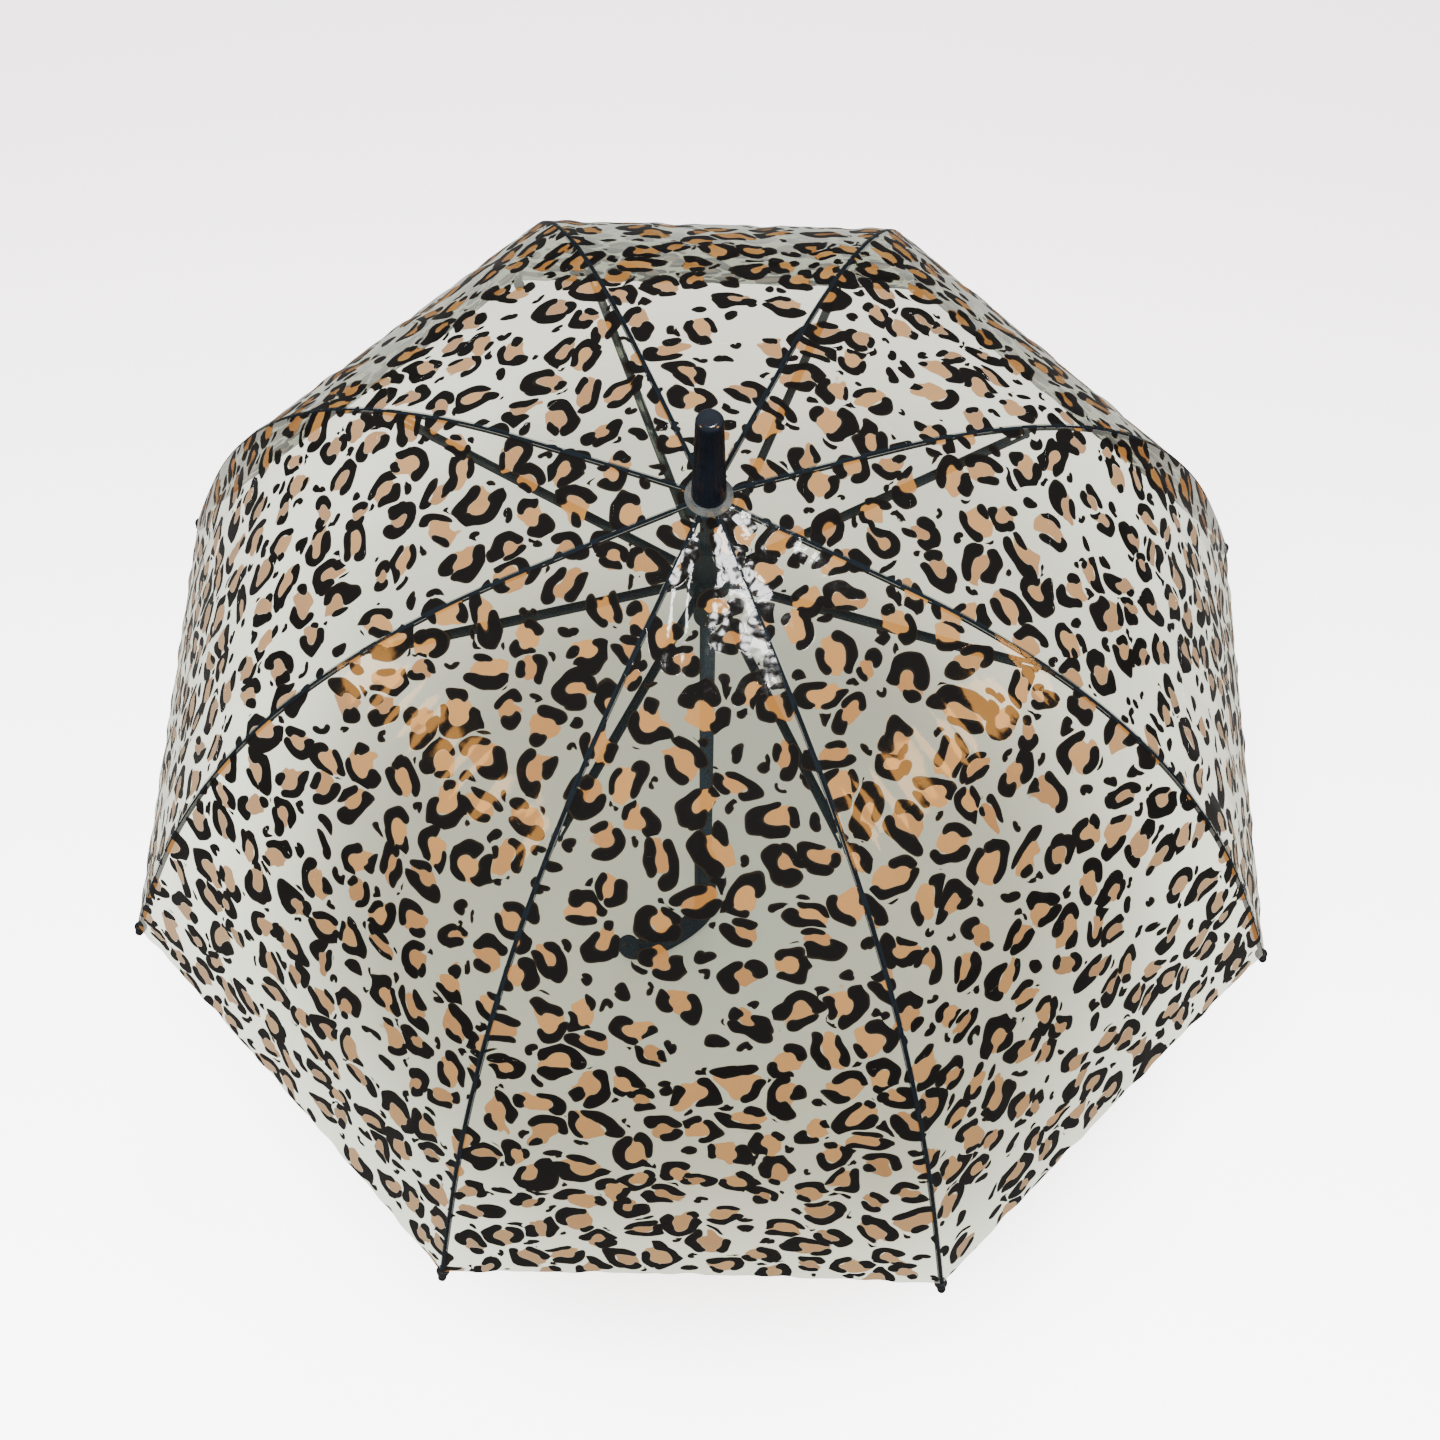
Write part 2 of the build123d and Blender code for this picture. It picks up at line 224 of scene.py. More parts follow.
def hard_material(
    name, dark, light, rough, scale,
    metallic=0.0, stretch=(1, 1, 1), grain=0.1, coat=0.0, ior=1.5, see=0.0, cap=0.0,
):
    """Paint, plastic or plate: two close tones, scuffs, and roughness and bump from noise.

    rough is the range of roughness, see how clear it is, and cap the polish of its end.
    """
    net = Net(name)
    at = stretched(net, coords(net), stretch)
    tone = net.noise(at, scale, 5.0, 0.6)[0]
    fine = net.noise(at, scale * 9, 3.0, 0.7)[0]
    scuff = net.ramp(net.noise(at, scale * 2.5, 8.0, 0.75)[0], 0.60, 0.72)
    base = net.mix_colour(net.ramp(tone, 0.35, 0.7), (*dark, 1), (*light, 1))
    scuffed = [min(1, 2.2 * c + 0.004) for c in light]
    base = net.mix_colour(net.math("MULTIPLY", scuff, 0.35), base, (*scuffed, 1))
    p = net.node("ShaderNodeBsdfPrincipled")
    net.put(p.inputs["Base Color"], base)
    net.put(p.inputs["Metallic"], metallic)
    dull = net.math("MULTIPLY", scuff, 0.12)
    net.put(p.inputs["Roughness"], net.math("ADD", net.ramp(fine, 0.3, 0.7, *rough), dull))
    net.put(p.inputs["Coat Weight"], coat)
    net.put(p.inputs["Coat Roughness"], 0.14 if cap else 0.06)
    if cap:  # the sides are dulled by handling and the end is still polished
        up = net.node("ShaderNodeSeparateXYZ")
        surface = net.node("ShaderNodeNewGeometry")
        net.put(up.inputs[0], surface.outputs["Normal"])
        net.put(p.inputs["Coat Weight"], net.ramp(up.outputs[2], 0.3, 0.8, coat, cap))
    net.put(p.inputs["IOR"], ior)
    net.put(p.inputs["Normal"], net.bump(fine, grain, 0.0002))
    if not see:
        return net.finish(p.outputs[0])
    clear = net.node("ShaderNodeBsdfTransparent")
    net.put(clear.inputs["Color"], (0.80, 0.82, 0.80, 1))
    body = net.ramp(tone, 0.3, 0.7, 0.92 - see, 1.08 - see)
    return net.finish(net.mix_shader(body, clear.outputs[0], p.outputs[0]))


# ---------------------------------------------------------------- the printed film
PRINT_TURN = 0.45  # radians that the print's rows are turned on the film
PRINT_CELLS = 38.0  # rosettes in a metre
ROUND = 2 * math.pi  # a full turn
BLACK_INK = ((0.0016, 0.0015, 0.0014, 1), (0.0058, 0.0044, 0.0028, 1))  # thick, thin
TAN_INK = ((0.088, 0.0375, 0.0082, 1), (0.120, 0.056, 0.0128, 1))
WELD_TONE = (0.0022, 0.0034, 0.0046, 1)
BARE_FILM = ((0.27, 0.285, 0.255, 1), (0.35, 0.37, 0.33, 1))
SEEN_THROUGH = (0.345, 0.372, 0.302, 1)  # tint of what lies behind the bare film
BLACK_COVER, TAN_COVER, WELD_COVER = 0.998, 0.88, 0.60  # how much each hides


def turned(net, vector, angle):
    """The vector turned about the film's normal."""
    n = net.node("ShaderNodeVectorRotate", rotation_type="Z_AXIS")
    net.put(n.inputs["Vector"], vector)
    net.put(n.inputs["Angle"], angle)
    return n.outputs[0]


def scaled(net, vector, factors):
    """The vector scaled along its axes by vector arithmetic."""
    n = net.node("ShaderNodeVectorMath", operation="MULTIPLY")
    net.put(n.inputs[0], vector)
    net.put(n.inputs[1], factors)
    return n.outputs[0]


def split(net, vector, kind="ShaderNodeSeparateXYZ"):
    """The parts of a vector, or of a colour with the other kind of node."""
    n = net.node(kind)
    net.put(n.inputs[0], vector)
    return n.outputs


def voronoi(net, vector, randomness, feature="F1"):
    """Outputs of a field of cells, one to each unit square, with their points moved at random."""
    n = net.node("ShaderNodeTexVoronoi", voronoi_dimensions="2D", feature=feature)
    net.put(n.inputs["Vector"], vector)
    net.put(n.inputs["Scale"], 1.0)
    net.put(n.inputs["Randomness"], randomness)
    return n.outputs


def from_point(net, vector, cell):
    """Where a place lies from its cell's point, flat on the film."""
    return scaled(net, net.vec("SUBTRACT", vector, cell["Position"]), (1.0, 1.0, 0.0))


def less(net, value, factor, mask):
    """The value where the mask is 0, and shrunk by the factor where it is 1."""
    kept = net.math("SUBTRACT", 1.0, net.math("MULTIPLY", mask, factor))
    return net.math("MULTIPLY", value, kept)


def arc(net, local, turn, radius, spread, thick):
    """Signed distance, in cells, to a round-ended stroke bent round the cell's point."""
    spin = turned(net, local, turn)
    xyz = split(net, spin)
    x, y = xyz[0], net.math("ABSOLUTE", xyz[1])
    ring = net.math("ABSOLUTE", net.math("SUBTRACT", net.vec("LENGTH", spin), radius))
    dx = net.math("SUBTRACT", x, net.math("MULTIPLY", radius, net.math("COSINE", spread)))
    dy = net.math("SUBTRACT", y, net.math("MULTIPLY", radius, net.math("SINE", spread)))
    squares = net.math("ADD", net.math("MULTIPLY", dx, dx), net.math("MULTIPLY", dy, dy))
    end = net.math("SQRT", squares)
    within = net.math("LESS_THAN", net.math("ARCTAN2", y, x), spread)
    part = net.math("MULTIPLY", within, ring)
    rest = net.math("MULTIPLY", net.math("SUBTRACT", 1.0, within), end)
    return net.math("SUBTRACT", net.math("ADD", part, rest), thick)


def rosettes(net, cells):
    """Distances to the black ink and to the tan, in cells, and a number that is each cell's own."""
    slow = net.vec("SUBTRACT", net.noise(cells, 0.85, 0.0)[1], (0.5, 0.5, 0.5))
    quick = net.vec("SUBTRACT", net.noise(cells, 2.3, 0.0)[1], (0.5, 0.5, 0.5))
    warped = net.vec("ADD", cells, net.vec("SCALE", slow, scale=0.60))
    warped = net.vec("ADD", warped, net.vec("SCALE", quick, scale=0.17))
    spots = voronoi(net, warped, 0.50)
    room = voronoi(net, warped, 0.50, "N_SPHERE_RADIUS")
    # A rosette fills its cell: lengths from here on are in parts of the room it has.
    size = net.math("ADD", net.math("MULTIPLY", room["Radius"], 0.55), 0.245)
    local = from_point(net, warped, spots)
    local = net.vec("SCALE", local, scale=net.math("DIVIDE", 1.0, size))
    d1, d2, d3 = split(net, spots["Color"], "ShaderNodeSeparateColor")[:3]
    e1 = net.math("FRACT", net.math("MULTIPLY", d1, 13.7))
    e2 = net.math("FRACT", net.math("MULTIPLY", d2, 17.3))
    e3 = net.math("FRACT", net.math("MULTIPLY", d3, 11.9))
    bean = net.math("GREATER_THAN", d3, 0.90)  # a cell with a lone black bean
    turn = net.math("MULTIPLY", d1, ROUND)
    local = scaled(net, turned(net, local, net.math("MULTIPLY", e3, ROUND)), (0.88, 1.16, 0.0))
    # Three strokes: a long one, a short one that faces it, and a lobe on the long one's end.
    radius = less(net, net.ramp(d2, 0.0, 1.0, 0.60, 0.78, smooth=False), 0.62, bean)
    thick = net.ramp(e1, 0.0, 1.0, 0.255, 0.345, smooth=False)
    long_arc = less(net, net.ramp(e2, 0.0, 1.0, 0.70, 1.85, smooth=False), 0.6, bean)
    short_arc = net.ramp(e3, 0.0, 1.0, 0.10, 0.75, smooth=False)
    first = arc(net, local, turn, radius, long_arc, thick)
    facing = net.math("ADD", turn, net.ramp(e1, 0.0, 1.0, 2.5, 3.8, smooth=False))
    out = net.math("MULTIPLY", radius, 1.03)
    second = arc(net, local, facing, out, short_arc, net.math("MULTIPLY", thick, 0.88))
    lobe = net.math("MULTIPLY", thick, net.ramp(e2, 0.2, 0.9, 0.4, 1.35))
    tail = net.math("ADD", turn, net.math("ADD", long_arc, -0.25))
    third = arc(net, local, tail, net.math("MULTIPLY", radius, 1.12), 0.10, lobe)
    short = net.math("MINIMUM", net.math("ADD", second, bean), net.math("ADD", third, bean))
    black = net.math("MINIMUM", first, short)
    # The tan blob lies under the strokes and shows out of their gap.
    centred = net.vec("ADD", turned(net, local, turn), (0.14, 0.05, 0.0))
    uneven = net.math("SUBTRACT", net.noise(warped, 2.6, 1.0)[0], 0.5)
    reach = net.math("MULTIPLY", radius, 0.95)
    tan = net.math("SUBTRACT", net.vec("LENGTH", centred), reach)
    tan = net.math("ADD", net.math("ADD", tan, net.math("MULTIPLY", uneven, 0.9)), bean)
    # Loose beans in what is left between the rosettes.
    near = net.math("MULTIPLY", net.math("MINIMUM", black, tan), size)
    between = net.vec("ADD", warped, (5.5, 2.5, 0.0))
    crumbs = voronoi(net, between, 0.55)
    pick = split(net, crumbs["Color"], "ShaderNodeSeparateColor")
    apart = net.ramp(pick[0], 0.0, 1.0, 0.05, 0.16, smooth=False)
    fat = net.ramp(pick[1], 0.0, 1.0, 0.05, 0.13, smooth=False)
    lean = net.math("MULTIPLY", pick[2], ROUND)
    place = net.vec("ADD", from_point(net, between, crumbs), (0.05, 0.03, 0.0))
    speck = arc(net, place, lean, apart, 1.1, fat)
    crowd = net.math("MAXIMUM", net.math("SUBTRACT", 0.11, near), 0.0)
    speck = net.math("MULTIPLY_ADD", crowd, 2.2, speck)
    ink = net.math("MINIMUM", net.math("MULTIPLY", black, size), speck)
    return ink, net.math("MULTIPLY", tan, size), d2


def film_material():
    """Clear film: each ink hides what is behind it, and the bare film only tints it."""
    net = Net("printed_film")
    uv = net.node("ShaderNodeUVMap", uv_map="print").outputs[0]
    cells = net.vec("SCALE", turned(net, uv, PRINT_TURN), scale=PRINT_CELLS)
    ink, patch, own = rosettes(net, cells)
    ink_in = net.ramp(ink, -0.008, 0.008, 1.0, 0.0)
    bare_of_ink = net.math("SUBTRACT", 1.0, ink_in)
    tan_in = net.math("MULTIPLY", net.ramp(patch, -0.018, 0.012, 1.0, 0.0), bare_of_ink)
    # The tones reach a little past the inks, so that no edge has a pale line round it.
    ink_near = net.ramp(ink, 0.008, 0.020, 1.0, 0.0)
    tan_near = net.ramp(patch, 0.012, 0.030, 1.0, 0.0)
    # Welded seams along the ribs and the cut rim.
    zone = net.node("ShaderNodeUVMap", uv_map="seam").outputs[0]
    from_seam, from_rim = split(net, zone)[:2]
    weld = net.ramp(from_seam, 0.0013, 0.0019, 1.0, 0.0)
    lip = net.ramp(from_rim, 0.0006, 0.0018, 1.0, 0.0)
    # Colour: ink is a little brown where it is thin, and the tan varies from blob to blob.
    speckle = net.noise(cells, 14.0, 3.0)[0]
    black_tone = net.mix_colour(net.ramp(ink, -0.05, 0.0), *BLACK_INK)
    own_part = net.math("MULTIPLY", own, 0.7)
    mottle = net.math("ADD", own_part, net.math("MULTIPLY", speckle, 0.3))
    tan_tone = net.mix_colour(net.ramp(mottle, 0.1, 0.8), *TAN_INK)
    clear_tone = net.mix_colour(net.noise(uv, 9.0, 2.0)[0], *BARE_FILM)
    tone = net.mix_colour(tan_near, clear_tone, tan_tone)
    rim_of_ink = net.math("MULTIPLY", ink_near, net.math("SUBTRACT", 1.0, tan_in))
    tone = net.mix_colour(net.math("MAXIMUM", ink_in, rim_of_ink), tone, black_tone)
    tone = net.mix_colour(weld, tone, WELD_TONE)
    # How much of what is behind is hidden. Bare film hides it only where it is seen edge on, where
    # its lit tone is a painted sheen that stands in for the bright room it would mirror.
    weight = net.node("ShaderNodeLayerWeight")
    net.put(weight.inputs["Blend"], 0.5)
    sheen = net.math("MULTIPLY", net.math("POWER", weight.outputs["Facing"], 3.4), 0.88)
    body = net.math("ADD", net.math("ADD", 0.004, sheen), net.math("MULTIPLY", lip, 0.22))
    body = net.math("MAXIMUM", body, net.math("MULTIPLY", tan_in, TAN_COVER))
    body = net.math("MAXIMUM", body, net.math("MULTIPLY", weld, WELD_COVER))
    body = net.math("MAXIMUM", body, net.math("MULTIPLY", ink_in, BLACK_COVER))
    # Slack film: long soft creases, finer crumples, and puckers where it is gathered at the hub.
    crease = net.noise(stretched(net, uv, (1.0, 0.22, 1.0)), 26.0, 3.0, 0.45)[0]
    crumple = net.noise(uv, 17.0, 3.0, 0.5)[0]
    at_hub = net.math("MULTIPLY", net.ramp(from_rim, 0.39, 0.52, 0.0, 1.0), 0.9)
    puckers = net.math("MULTIPLY", net.noise(uv, 48.0, 2.0, 0.5)[0], at_hub)
    height = net.math("ADD", net.math("MULTIPLY", crease, 0.6), net.math("MULTIPLY", crumple, 0.7))
    height = net.math("ADD", height, puckers)
    height = net.math("ADD", height, net.math("MULTIPLY", ink_in, 0.02))
    normal = net.bump(height, 0.35, 0.004)
    paint = net.node("ShaderNodeBsdfPrincipled")
    net.put(paint.inputs["Base Color"], tone)
    net.put(paint.inputs["Roughness"], net.ramp(ink_in, 0.0, 1.0, 0.30, 0.22))
    net.put(paint.inputs["Specular IOR Level"], 0.0)
    net.put(paint.inputs["Normal"], normal)
    clear = net.node("ShaderNodeBsdfTransparent")
    net.put(clear.inputs["Color"], SEEN_THROUGH)
    film = net.mix_shader(body, clear.outputs[0], paint.outputs[0])
    shine = net.node("ShaderNodeBsdfAnisotropic")
    net.put(shine.inputs["Color"], (1, 1, 1, 1))
    net.put(shine.inputs["Roughness"], net.ramp(speckle, 0.3, 0.7, 0.05, 0.10))
    net.put(shine.inputs["Normal"], normal)
    glint = net.math("POWER", weight.outputs["Facing"], 5.0)
    glint = net.math("MULTIPLY_ADD", glint, 0.35, 0.016)
    return net.finish(net.mix_shader(glint, film, shine.outputs[0]))


film_look = film_material()


# ---------------------------------------------------------------- canopy
def mesh_object(name, verts, faces, material, layers=None):
    """A smooth mesh in the scene. layers gives each UV map's places, one for each vertex."""
    mesh = bpy.data.meshes.new(name)
    mesh.from_pydata([tuple(v) for v in verts], [], faces)
    for layer, values in (layers or {}).items():
        uv = mesh.uv_layers.new(name=layer)
        for loop in mesh.loops:
            uv.data[loop.index].uv = values[loop.vertex_index]
    mesh.validate()
    mesh.polygons.foreach_set("use_smooth", [True] * len(mesh.polygons))
    mesh.update()
    obj = bpy.data.objects.new(name, mesh)
    bpy.context.scene.collection.objects.link(obj)
    obj.data.materials.append(material)
    return obj


# Small gathers in the film: height, length, and how they shift by gore and along the rib.
GATHERS = ((0.00034, 0.0046, 2.1, 9.0), (0.00030, 0.0083, 4.7, -14.0), (0.00025, 0.0031, -1.3, 22.0))
FLAT_BY_RIB = 0.012  # the gathers die out this near a rib
RIM_PULL, PULL_FROM, PULL_RUN = 0.004, 0.40, 0.132
ROW_STEP, COLUMN_STEP, ROD_STEP = 0.0058, 0.0042, 0.0042  # mesh spacing
PRINT_FROM, PRINT_STEP = (0.37, 0.21), (0.71, 0.43)  # where each gore is cut from the print


def wave(g, x, s):
    """Height of gore g's slack above the taut surface."""
    return sum(h * math.sin(x / long + by_gore * g + by_s * s) for h, long, by_gore, by_s in GATHERS)


def film_spot(g, side, s, share):
    """A point of gore g, and its flat place: share is 0 at the gore's middle and 1 at its rib."""
    r, z, slope = rib_point(s)
    lean = math.atan2(math.sin(slope), math.cos(slope) * math.cos(HALF))
    out = r * math.cos(HALF) + FILM_OFF * math.sin(lean)
    width = out * math.tan(HALF)
    x = side * width * share
    rise = wave(g, x, s) * min(1.0, (1 - share) * width / FLAT_BY_RIB)
    # The free rim draws up a little between its ribs.
    pull = RIM_PULL * max(0.0, (s - PULL_FROM) / PULL_RUN) ** 2 * (1 - share ** 2)
    rho, tau = axes(2 * HALF * g)
    normal = rho * math.sin(lean) + Vector((0, 0, math.cos(lean)))
    along = rho * math.cos(lean) - Vector((0, 0, math.sin(lean)))
    p = rho * out + Vector((0, 0, z + FILM_OFF * math.cos(lean)))
    p = p + tau * x + normal * rise - along * pull
    return p, x, width


# Lengths of a half gore: name, from, to, the body each rides, and how far it folds.
BANDS = (
    ("inner_a", FILM_FROM, 0.045, "rib_{n}", 0.42),
    ("inner_b", 0.045, 0.110, "rib_{n}", 0.26),
    ("inner_c", 0.110, FLEX_1, "rib_{n}", 0.165),
    ("middle", FLEX_1, FLEX_2, "rib_{n}_middle", 0.115),
    ("outer", FLEX_2, FILM_TO, "rib_{n}_outer", 0.085),
)
for g in range(RIBS):
    for side, word in ((-1, "left"), (1, "right")):
        number = (g - 1) % RIBS + 1 if side < 0 else g + 1
        for band, first, last, body, keep in BANDS:
            rows = max(4, int(round((last - first) / ROW_STEP)))
            widest = rib_point(last)[0] * math.sin(HALF)
            columns = max(6, int(round(widest / COLUMN_STEP)))
            verts, flat, seam = [], [], []
            for i in range(rows + 1):
                s = first + (last - first) * i / rows
                for k in range(columns + 1):
                    p, x, width = film_spot(g, side, s, k / columns)
                    verts.append(p)
                    across = x + PRINT_FROM[0] + PRINT_STEP[0] * g
                    flat.append((across, s + PRINT_FROM[1] + PRINT_STEP[1] * g))
                    seam.append((width - abs(x), FILM_TO - s))
            faces = []
            for i in range(rows):
                for k in range(columns):
                    a = i * (columns + 1) + k
                    quad = (a, a + 1, a + columns + 2, a + columns + 1)
                    faces.append(quad if side > 0 else quad[::-1])
            maps = {"print": flat, "seam": seam}
            name = f"film_{g + 1}_{word}_{band}"
            piece = mesh_object(name, verts, faces, film_look, maps)
            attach(piece, body.format(n=number))
            a, b = on_rib(number, first), on_rib(number, last)
            chord = (b - a).normalized()
            _, tau = axes(2 * HALF * g)
            fold = tau * (-side)
            fold = (fold - chord * fold.dot(chord)).normalized()
            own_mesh(piece)
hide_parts("canopy")

# ---------------------------------------------------------------- hard materials
rod_look = hard_material(
    "black_rod", (0.0030, 0.0045, 0.0065), (0.0060, 0.0085, 0.0120), (0.20, 0.34), 60,
    stretch=(1, 1, 0.4), grain=0.08, coat=0.15,
)
steel_look = hard_material(
    "painted_channel", (0.0070, 0.0150, 0.0290), (0.0125, 0.0250, 0.0470), (0.24, 0.34), 45,
    grain=0.03, coat=0.2,
)
shaft_look = hard_material(
    "painted_shaft", (0.0130, 0.0340, 0.0640), (0.0200, 0.0480, 0.0860), (0.18, 0.32), 40,
    stretch=(1, 1, 0.15), grain=0.05, coat=0.2,
)
hub_look = hard_material(
    "moulded_hub", (0.0090, 0.0235, 0.0450), (0.0150, 0.0340, 0.0640), (0.36, 0.52), 70,
    grain=0.15,
)
gloss_look = hard_material(
    "polished_black", (0.0015, 0.0022, 0.0035), (0.0030, 0.0042, 0.0065), (0.20, 0.28), 30,
    grain=0.02, ior=1.12, cap=1.0,
)
grip_look = hard_material(
    "polished_grip", (0.0048, 0.0135, 0.0285), (0.0078, 0.0205, 0.0420), (0.12, 0.22), 30,
    grain=0.04, coat=0.1,
)
tip_look = hard_material(
    "tip_black", (0.0020, 0.0024, 0.0030), (0.0045, 0.0050, 0.0060), (0.30, 0.45), 90,
    grain=0.10, ior=1.25,
)
wire_look = hard_material(
    "spring_steel", (0.30, 0.31, 0.32), (0.48, 0.49, 0.50), (0.22, 0.40), 80,
    metallic=1.0, grain=0.10,
)
washer_look = hard_material(
    "smoky_washer", (0.045, 0.050, 0.050), (0.085, 0.090, 0.088), (0.18, 0.32), 55,
    grain=0.10, see=0.62,
)
LOOKS = {
    "shaft_tube": shaft_look,
    "top_notch": hub_look,
    "notch_wire": wire_look,
    "ferrule_washer": washer_look,
    "ferrule": gloss_look,
    "handle": grip_look,
    "runner": hub_look,
    "upper_catch": wire_look,
    "lower_catch": wire_look,
}
for name, node in frame["nodes"].items():
    look = LOOKS.get(name)
    if name.startswith(("stretcher", "knee_bracket")):
        look = steel_look
    elif name.startswith("rib_tip"):
        look = tip_look
    if look:
        node.data.materials.clear()
        node.data.materials.append(look)


# ---------------------------------------------------------------- rib rods
def rod(name, number, first, last, material, radius=ROD_R):
    """A springy rod along a rib. Its hub end is flattened, as the eye there is."""
    rho, tau = axes(rib_azimuth(number))
    around = 14
    steps = max(4, int((last - first) / ROD_STEP))
    stations = [first + (last - first) * i / steps for i in range(steps + 1)]
    if first < 0:
        rounding = [first, first + 0.0003, first + 0.0009]
        stations = rounding + [s for s in stations if s > first + 0.0015]
    verts, faces = [], []
    for s in stations:
        r, z, slope = rib_point(s)
        normal = rho * math.sin(slope) + Vector((0, 0, math.cos(slope)))
        tall = wide = radius
        if first < 0:
            flat = 1 - min(1.0, max(0.0, (s - EYE_TO) / EYE_FADE))
            wide = ROD_R - 0.0008 * flat
            tall = ROD_R + 0.00015 * flat
            if s < 0:
                tall *= math.sqrt(max(0.02, 1 - (s / (first - 0.0001)) ** 2))
        centre = rho * r + Vector((0, 0, z))
        for k in range(around):
            a = 2 * math.pi * k / around
            verts.append(centre + tau * wide * math.cos(a) + normal * tall * math.sin(a))
    for i in range(len(stations) - 1):
        for k in range(around):
            a, b = i * around + k, i * around + (k + 1) % around
            faces.append((a, b, b + around, a + around))
    faces.append(tuple(range(around))[::-1])
    last_ring = (len(stations) - 1) * around
    faces.append(tuple(range(last_ring, last_ring + around)))
    return mesh_object(name, verts, faces, material)


for n in range(1, RIBS + 1):
    inner = rod(f"rod_inner_{n}", n, ROD_START, ROD_JOIN, rod_look)
    start, end = [tuple(on_rib(n, s)) for s in BEND_1]
    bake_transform(inner)
    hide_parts(f"rib_inner_{n}", f"rib_middle_{n}")
    outer = rod(f"rod_outer_{n}", n, ROD_JOIN, ROD_END, rod_look)
    start, end = [tuple(on_rib(n, s)) for s in BEND_2]
    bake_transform(outer)
    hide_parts(f"rib_outer_{n}")

    # The clip that ties the film to the rib stands a little proud of it.
    ends = (CLIP_AT - CLIP_HALF, CLIP_AT + CLIP_HALF)
    clip = rod(f"film_clip_{n}", n, *ends, steel_look, CLIP_R)
    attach(clip, f"rib_{n}_middle")

# ---------------------------------------------------------------- stage, lights and camera
floor_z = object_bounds()[0][2]


def stage_material():
    """Pale paper, whiter in front, with a painted shadow under the dome, that shiny parts mirror only
    faintly.
    """
    net = Net("stage_paper")
    tone = net.noise(coords(net), 1.5, 3.0)[0]
    place = net.node("ShaderNodeSeparateXYZ")
    net.put(place.inputs[0], coords(net))
    depth = net.ramp(place.outputs[1], -0.5, 1.1)
    squares = [net.math("POWER", place.outputs[i], 2.0) for i in (0, 1)]
    away = net.math("SQRT", net.math("ADD", *squares))
    # Painted shadow: within the dome's footprint the glow is cut to a tenth.
    clear = net.ramp(away, 0.26, 0.45, 0.1, 1.0)
    shade = net.mix_colour(depth, (0.95, 0.94, 0.95, 1), (0.80, 0.750, 0.80, 1))
    shade = net.mix_colour(net.math("MULTIPLY", tone, 0.12), shade, (0.80, 0.79, 0.82, 1))
    path = net.node("ShaderNodeLightPath")
    p = net.node("ShaderNodeBsdfPrincipled")
    mirrored = net.mix_colour(path.outputs["Is Glossy Ray"], shade, (0.07, 0.07, 0.07, 1))
    net.put(p.inputs["Base Color"], mirrored)
    net.put(p.inputs["Roughness"], net.ramp(tone, 0.3, 0.7, 0.75, 0.85))
    net.put(p.inputs["Specular IOR Level"], 0.1)
    net.put(p.inputs["Emission Color"], shade)
    # The paper glows to the camera alone, so that it stays white without lighting the scene. This
    # glow is painted light: brightest in front, and a painted shadow where it is cut down under the
    # dome.
    glow = net.math("MULTIPLY", clear, net.ramp(depth, 0.0, 1.0, 3.2, 0.3, smooth=False))
    glow = net.ramp(away, 1.0, 5.0, glow, 1.25)
    glow = net.math("MULTIPLY", path.outputs["Is Camera Ray"], glow)
    net.put(p.inputs["Emission Strength"], glow)
    return net.finish(p.outputs[0])


bpy.ops.mesh.primitive_plane_add(size=60.0, location=(0, 0, floor_z))
floor = bpy.context.object
floor.name = "floor"
floor.data.materials.append(stage_material())


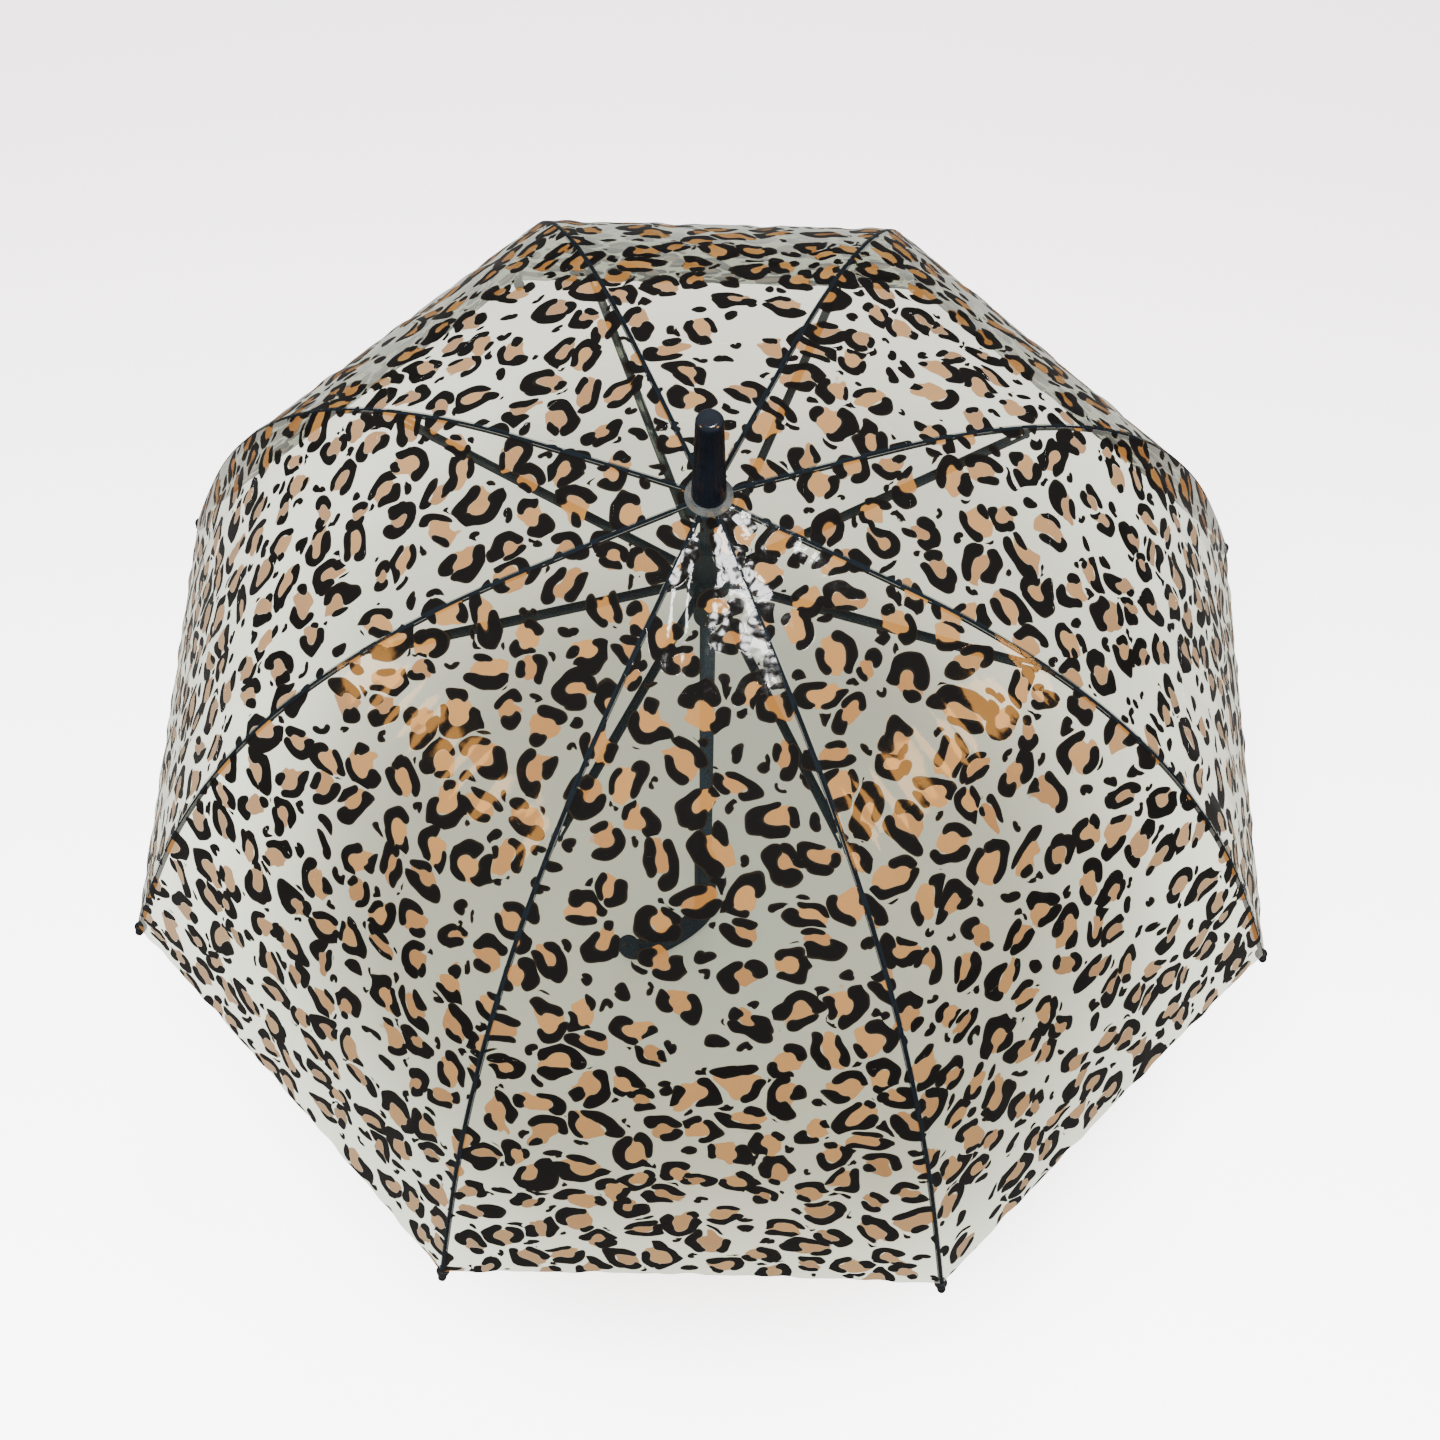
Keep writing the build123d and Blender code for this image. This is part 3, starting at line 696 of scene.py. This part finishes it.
def area_light(name, place, aim, size, power, colour=(1, 1, 1)):
    """A soft rectangular lamp at place, facing aim."""
    data = bpy.data.lights.new(name, "AREA")
    data.shape = "RECTANGLE"
    data.size, data.size_y = size
    data.energy = power
    data.color = colour
    lamp = bpy.data.objects.new(name, data)
    lamp.location = place
    lamp.rotation_euler = (Vector(aim) - Vector(place)).to_track_quat("-Z", "Y").to_euler()
    bpy.context.scene.collection.objects.link(lamp)
    return lamp


key = area_light("key", (-0.15, -0.75, 2.7), (0, 0.2, 0.2), (0.9, 0.9), 330)
key.visible_glossy = False
area_light("window", (0.20, 0.50, 2.7), (0, 0, 0.6), (0.22, 0.42), 32)
WARM = (1.0, 0.44, 0.09)
area_light("warm_right", (1.25, -0.46, 1.80), (0.14, -0.15, 0.58), (0.30, 0.50), 17, WARM)
area_light("warm_left", (-1.38, -0.40, 1.60), (-0.2, -0.1, 0.57), (0.30, 0.40), 13, WARM)

# The room is bright to the camera, dimmer as light, and dimmest in what shiny parts mirror.
world = bpy.data.worlds.new("soft_room")
world.use_nodes = True
sky = world.node_tree.nodes["Background"]
sky.inputs[0].default_value = (0.93, 0.92, 0.95, 1)
path = world.node_tree.nodes.new("ShaderNodeLightPath")
glow = None
for ray, other, strength in (("Is Camera Ray", 1.7, 2.7), ("Is Glossy Ray", None, 0.30)):
    step = world.node_tree.nodes.new("ShaderNodeMapRange")
    step.inputs[4].default_value = strength
    if other is None:
        world.node_tree.links.new(glow, step.inputs[3])
    else:
        step.inputs[3].default_value = other
    world.node_tree.links.new(path.outputs[ray], step.inputs[0])
    glow = step.outputs[0]
world.node_tree.links.new(glow, sky.inputs[1])
bpy.context.scene.world = world

# The camera looks down on the front of the dome, from 1.1 m above and in front of its hub.
CAMERA_BACK = (0.0, -0.41385, 0.91034)
CAMERA_RIGHT = (0.99971, 0.02194, 0.00997)
CAMERA_AT = (0.0090, -0.5648, HUB_Z + 0.9499)
camera_data = bpy.data.cameras.new("camera")
camera_data.sensor_width = 36.0
camera_data.lens = 50.08
camera_data.clip_end = 30.0
camera = bpy.data.objects.new("camera", camera_data)
bpy.context.scene.collection.objects.link(camera)
back = Vector(CAMERA_BACK).normalized()
right = Vector(CAMERA_RIGHT).normalized()
up = back.cross(right).normalized()
right = up.cross(back)
turn = Matrix((right, up, back)).transposed().to_4x4()
camera.matrix_world = Matrix.Translation(CAMERA_AT) @ turn
bpy.context.scene.camera = camera
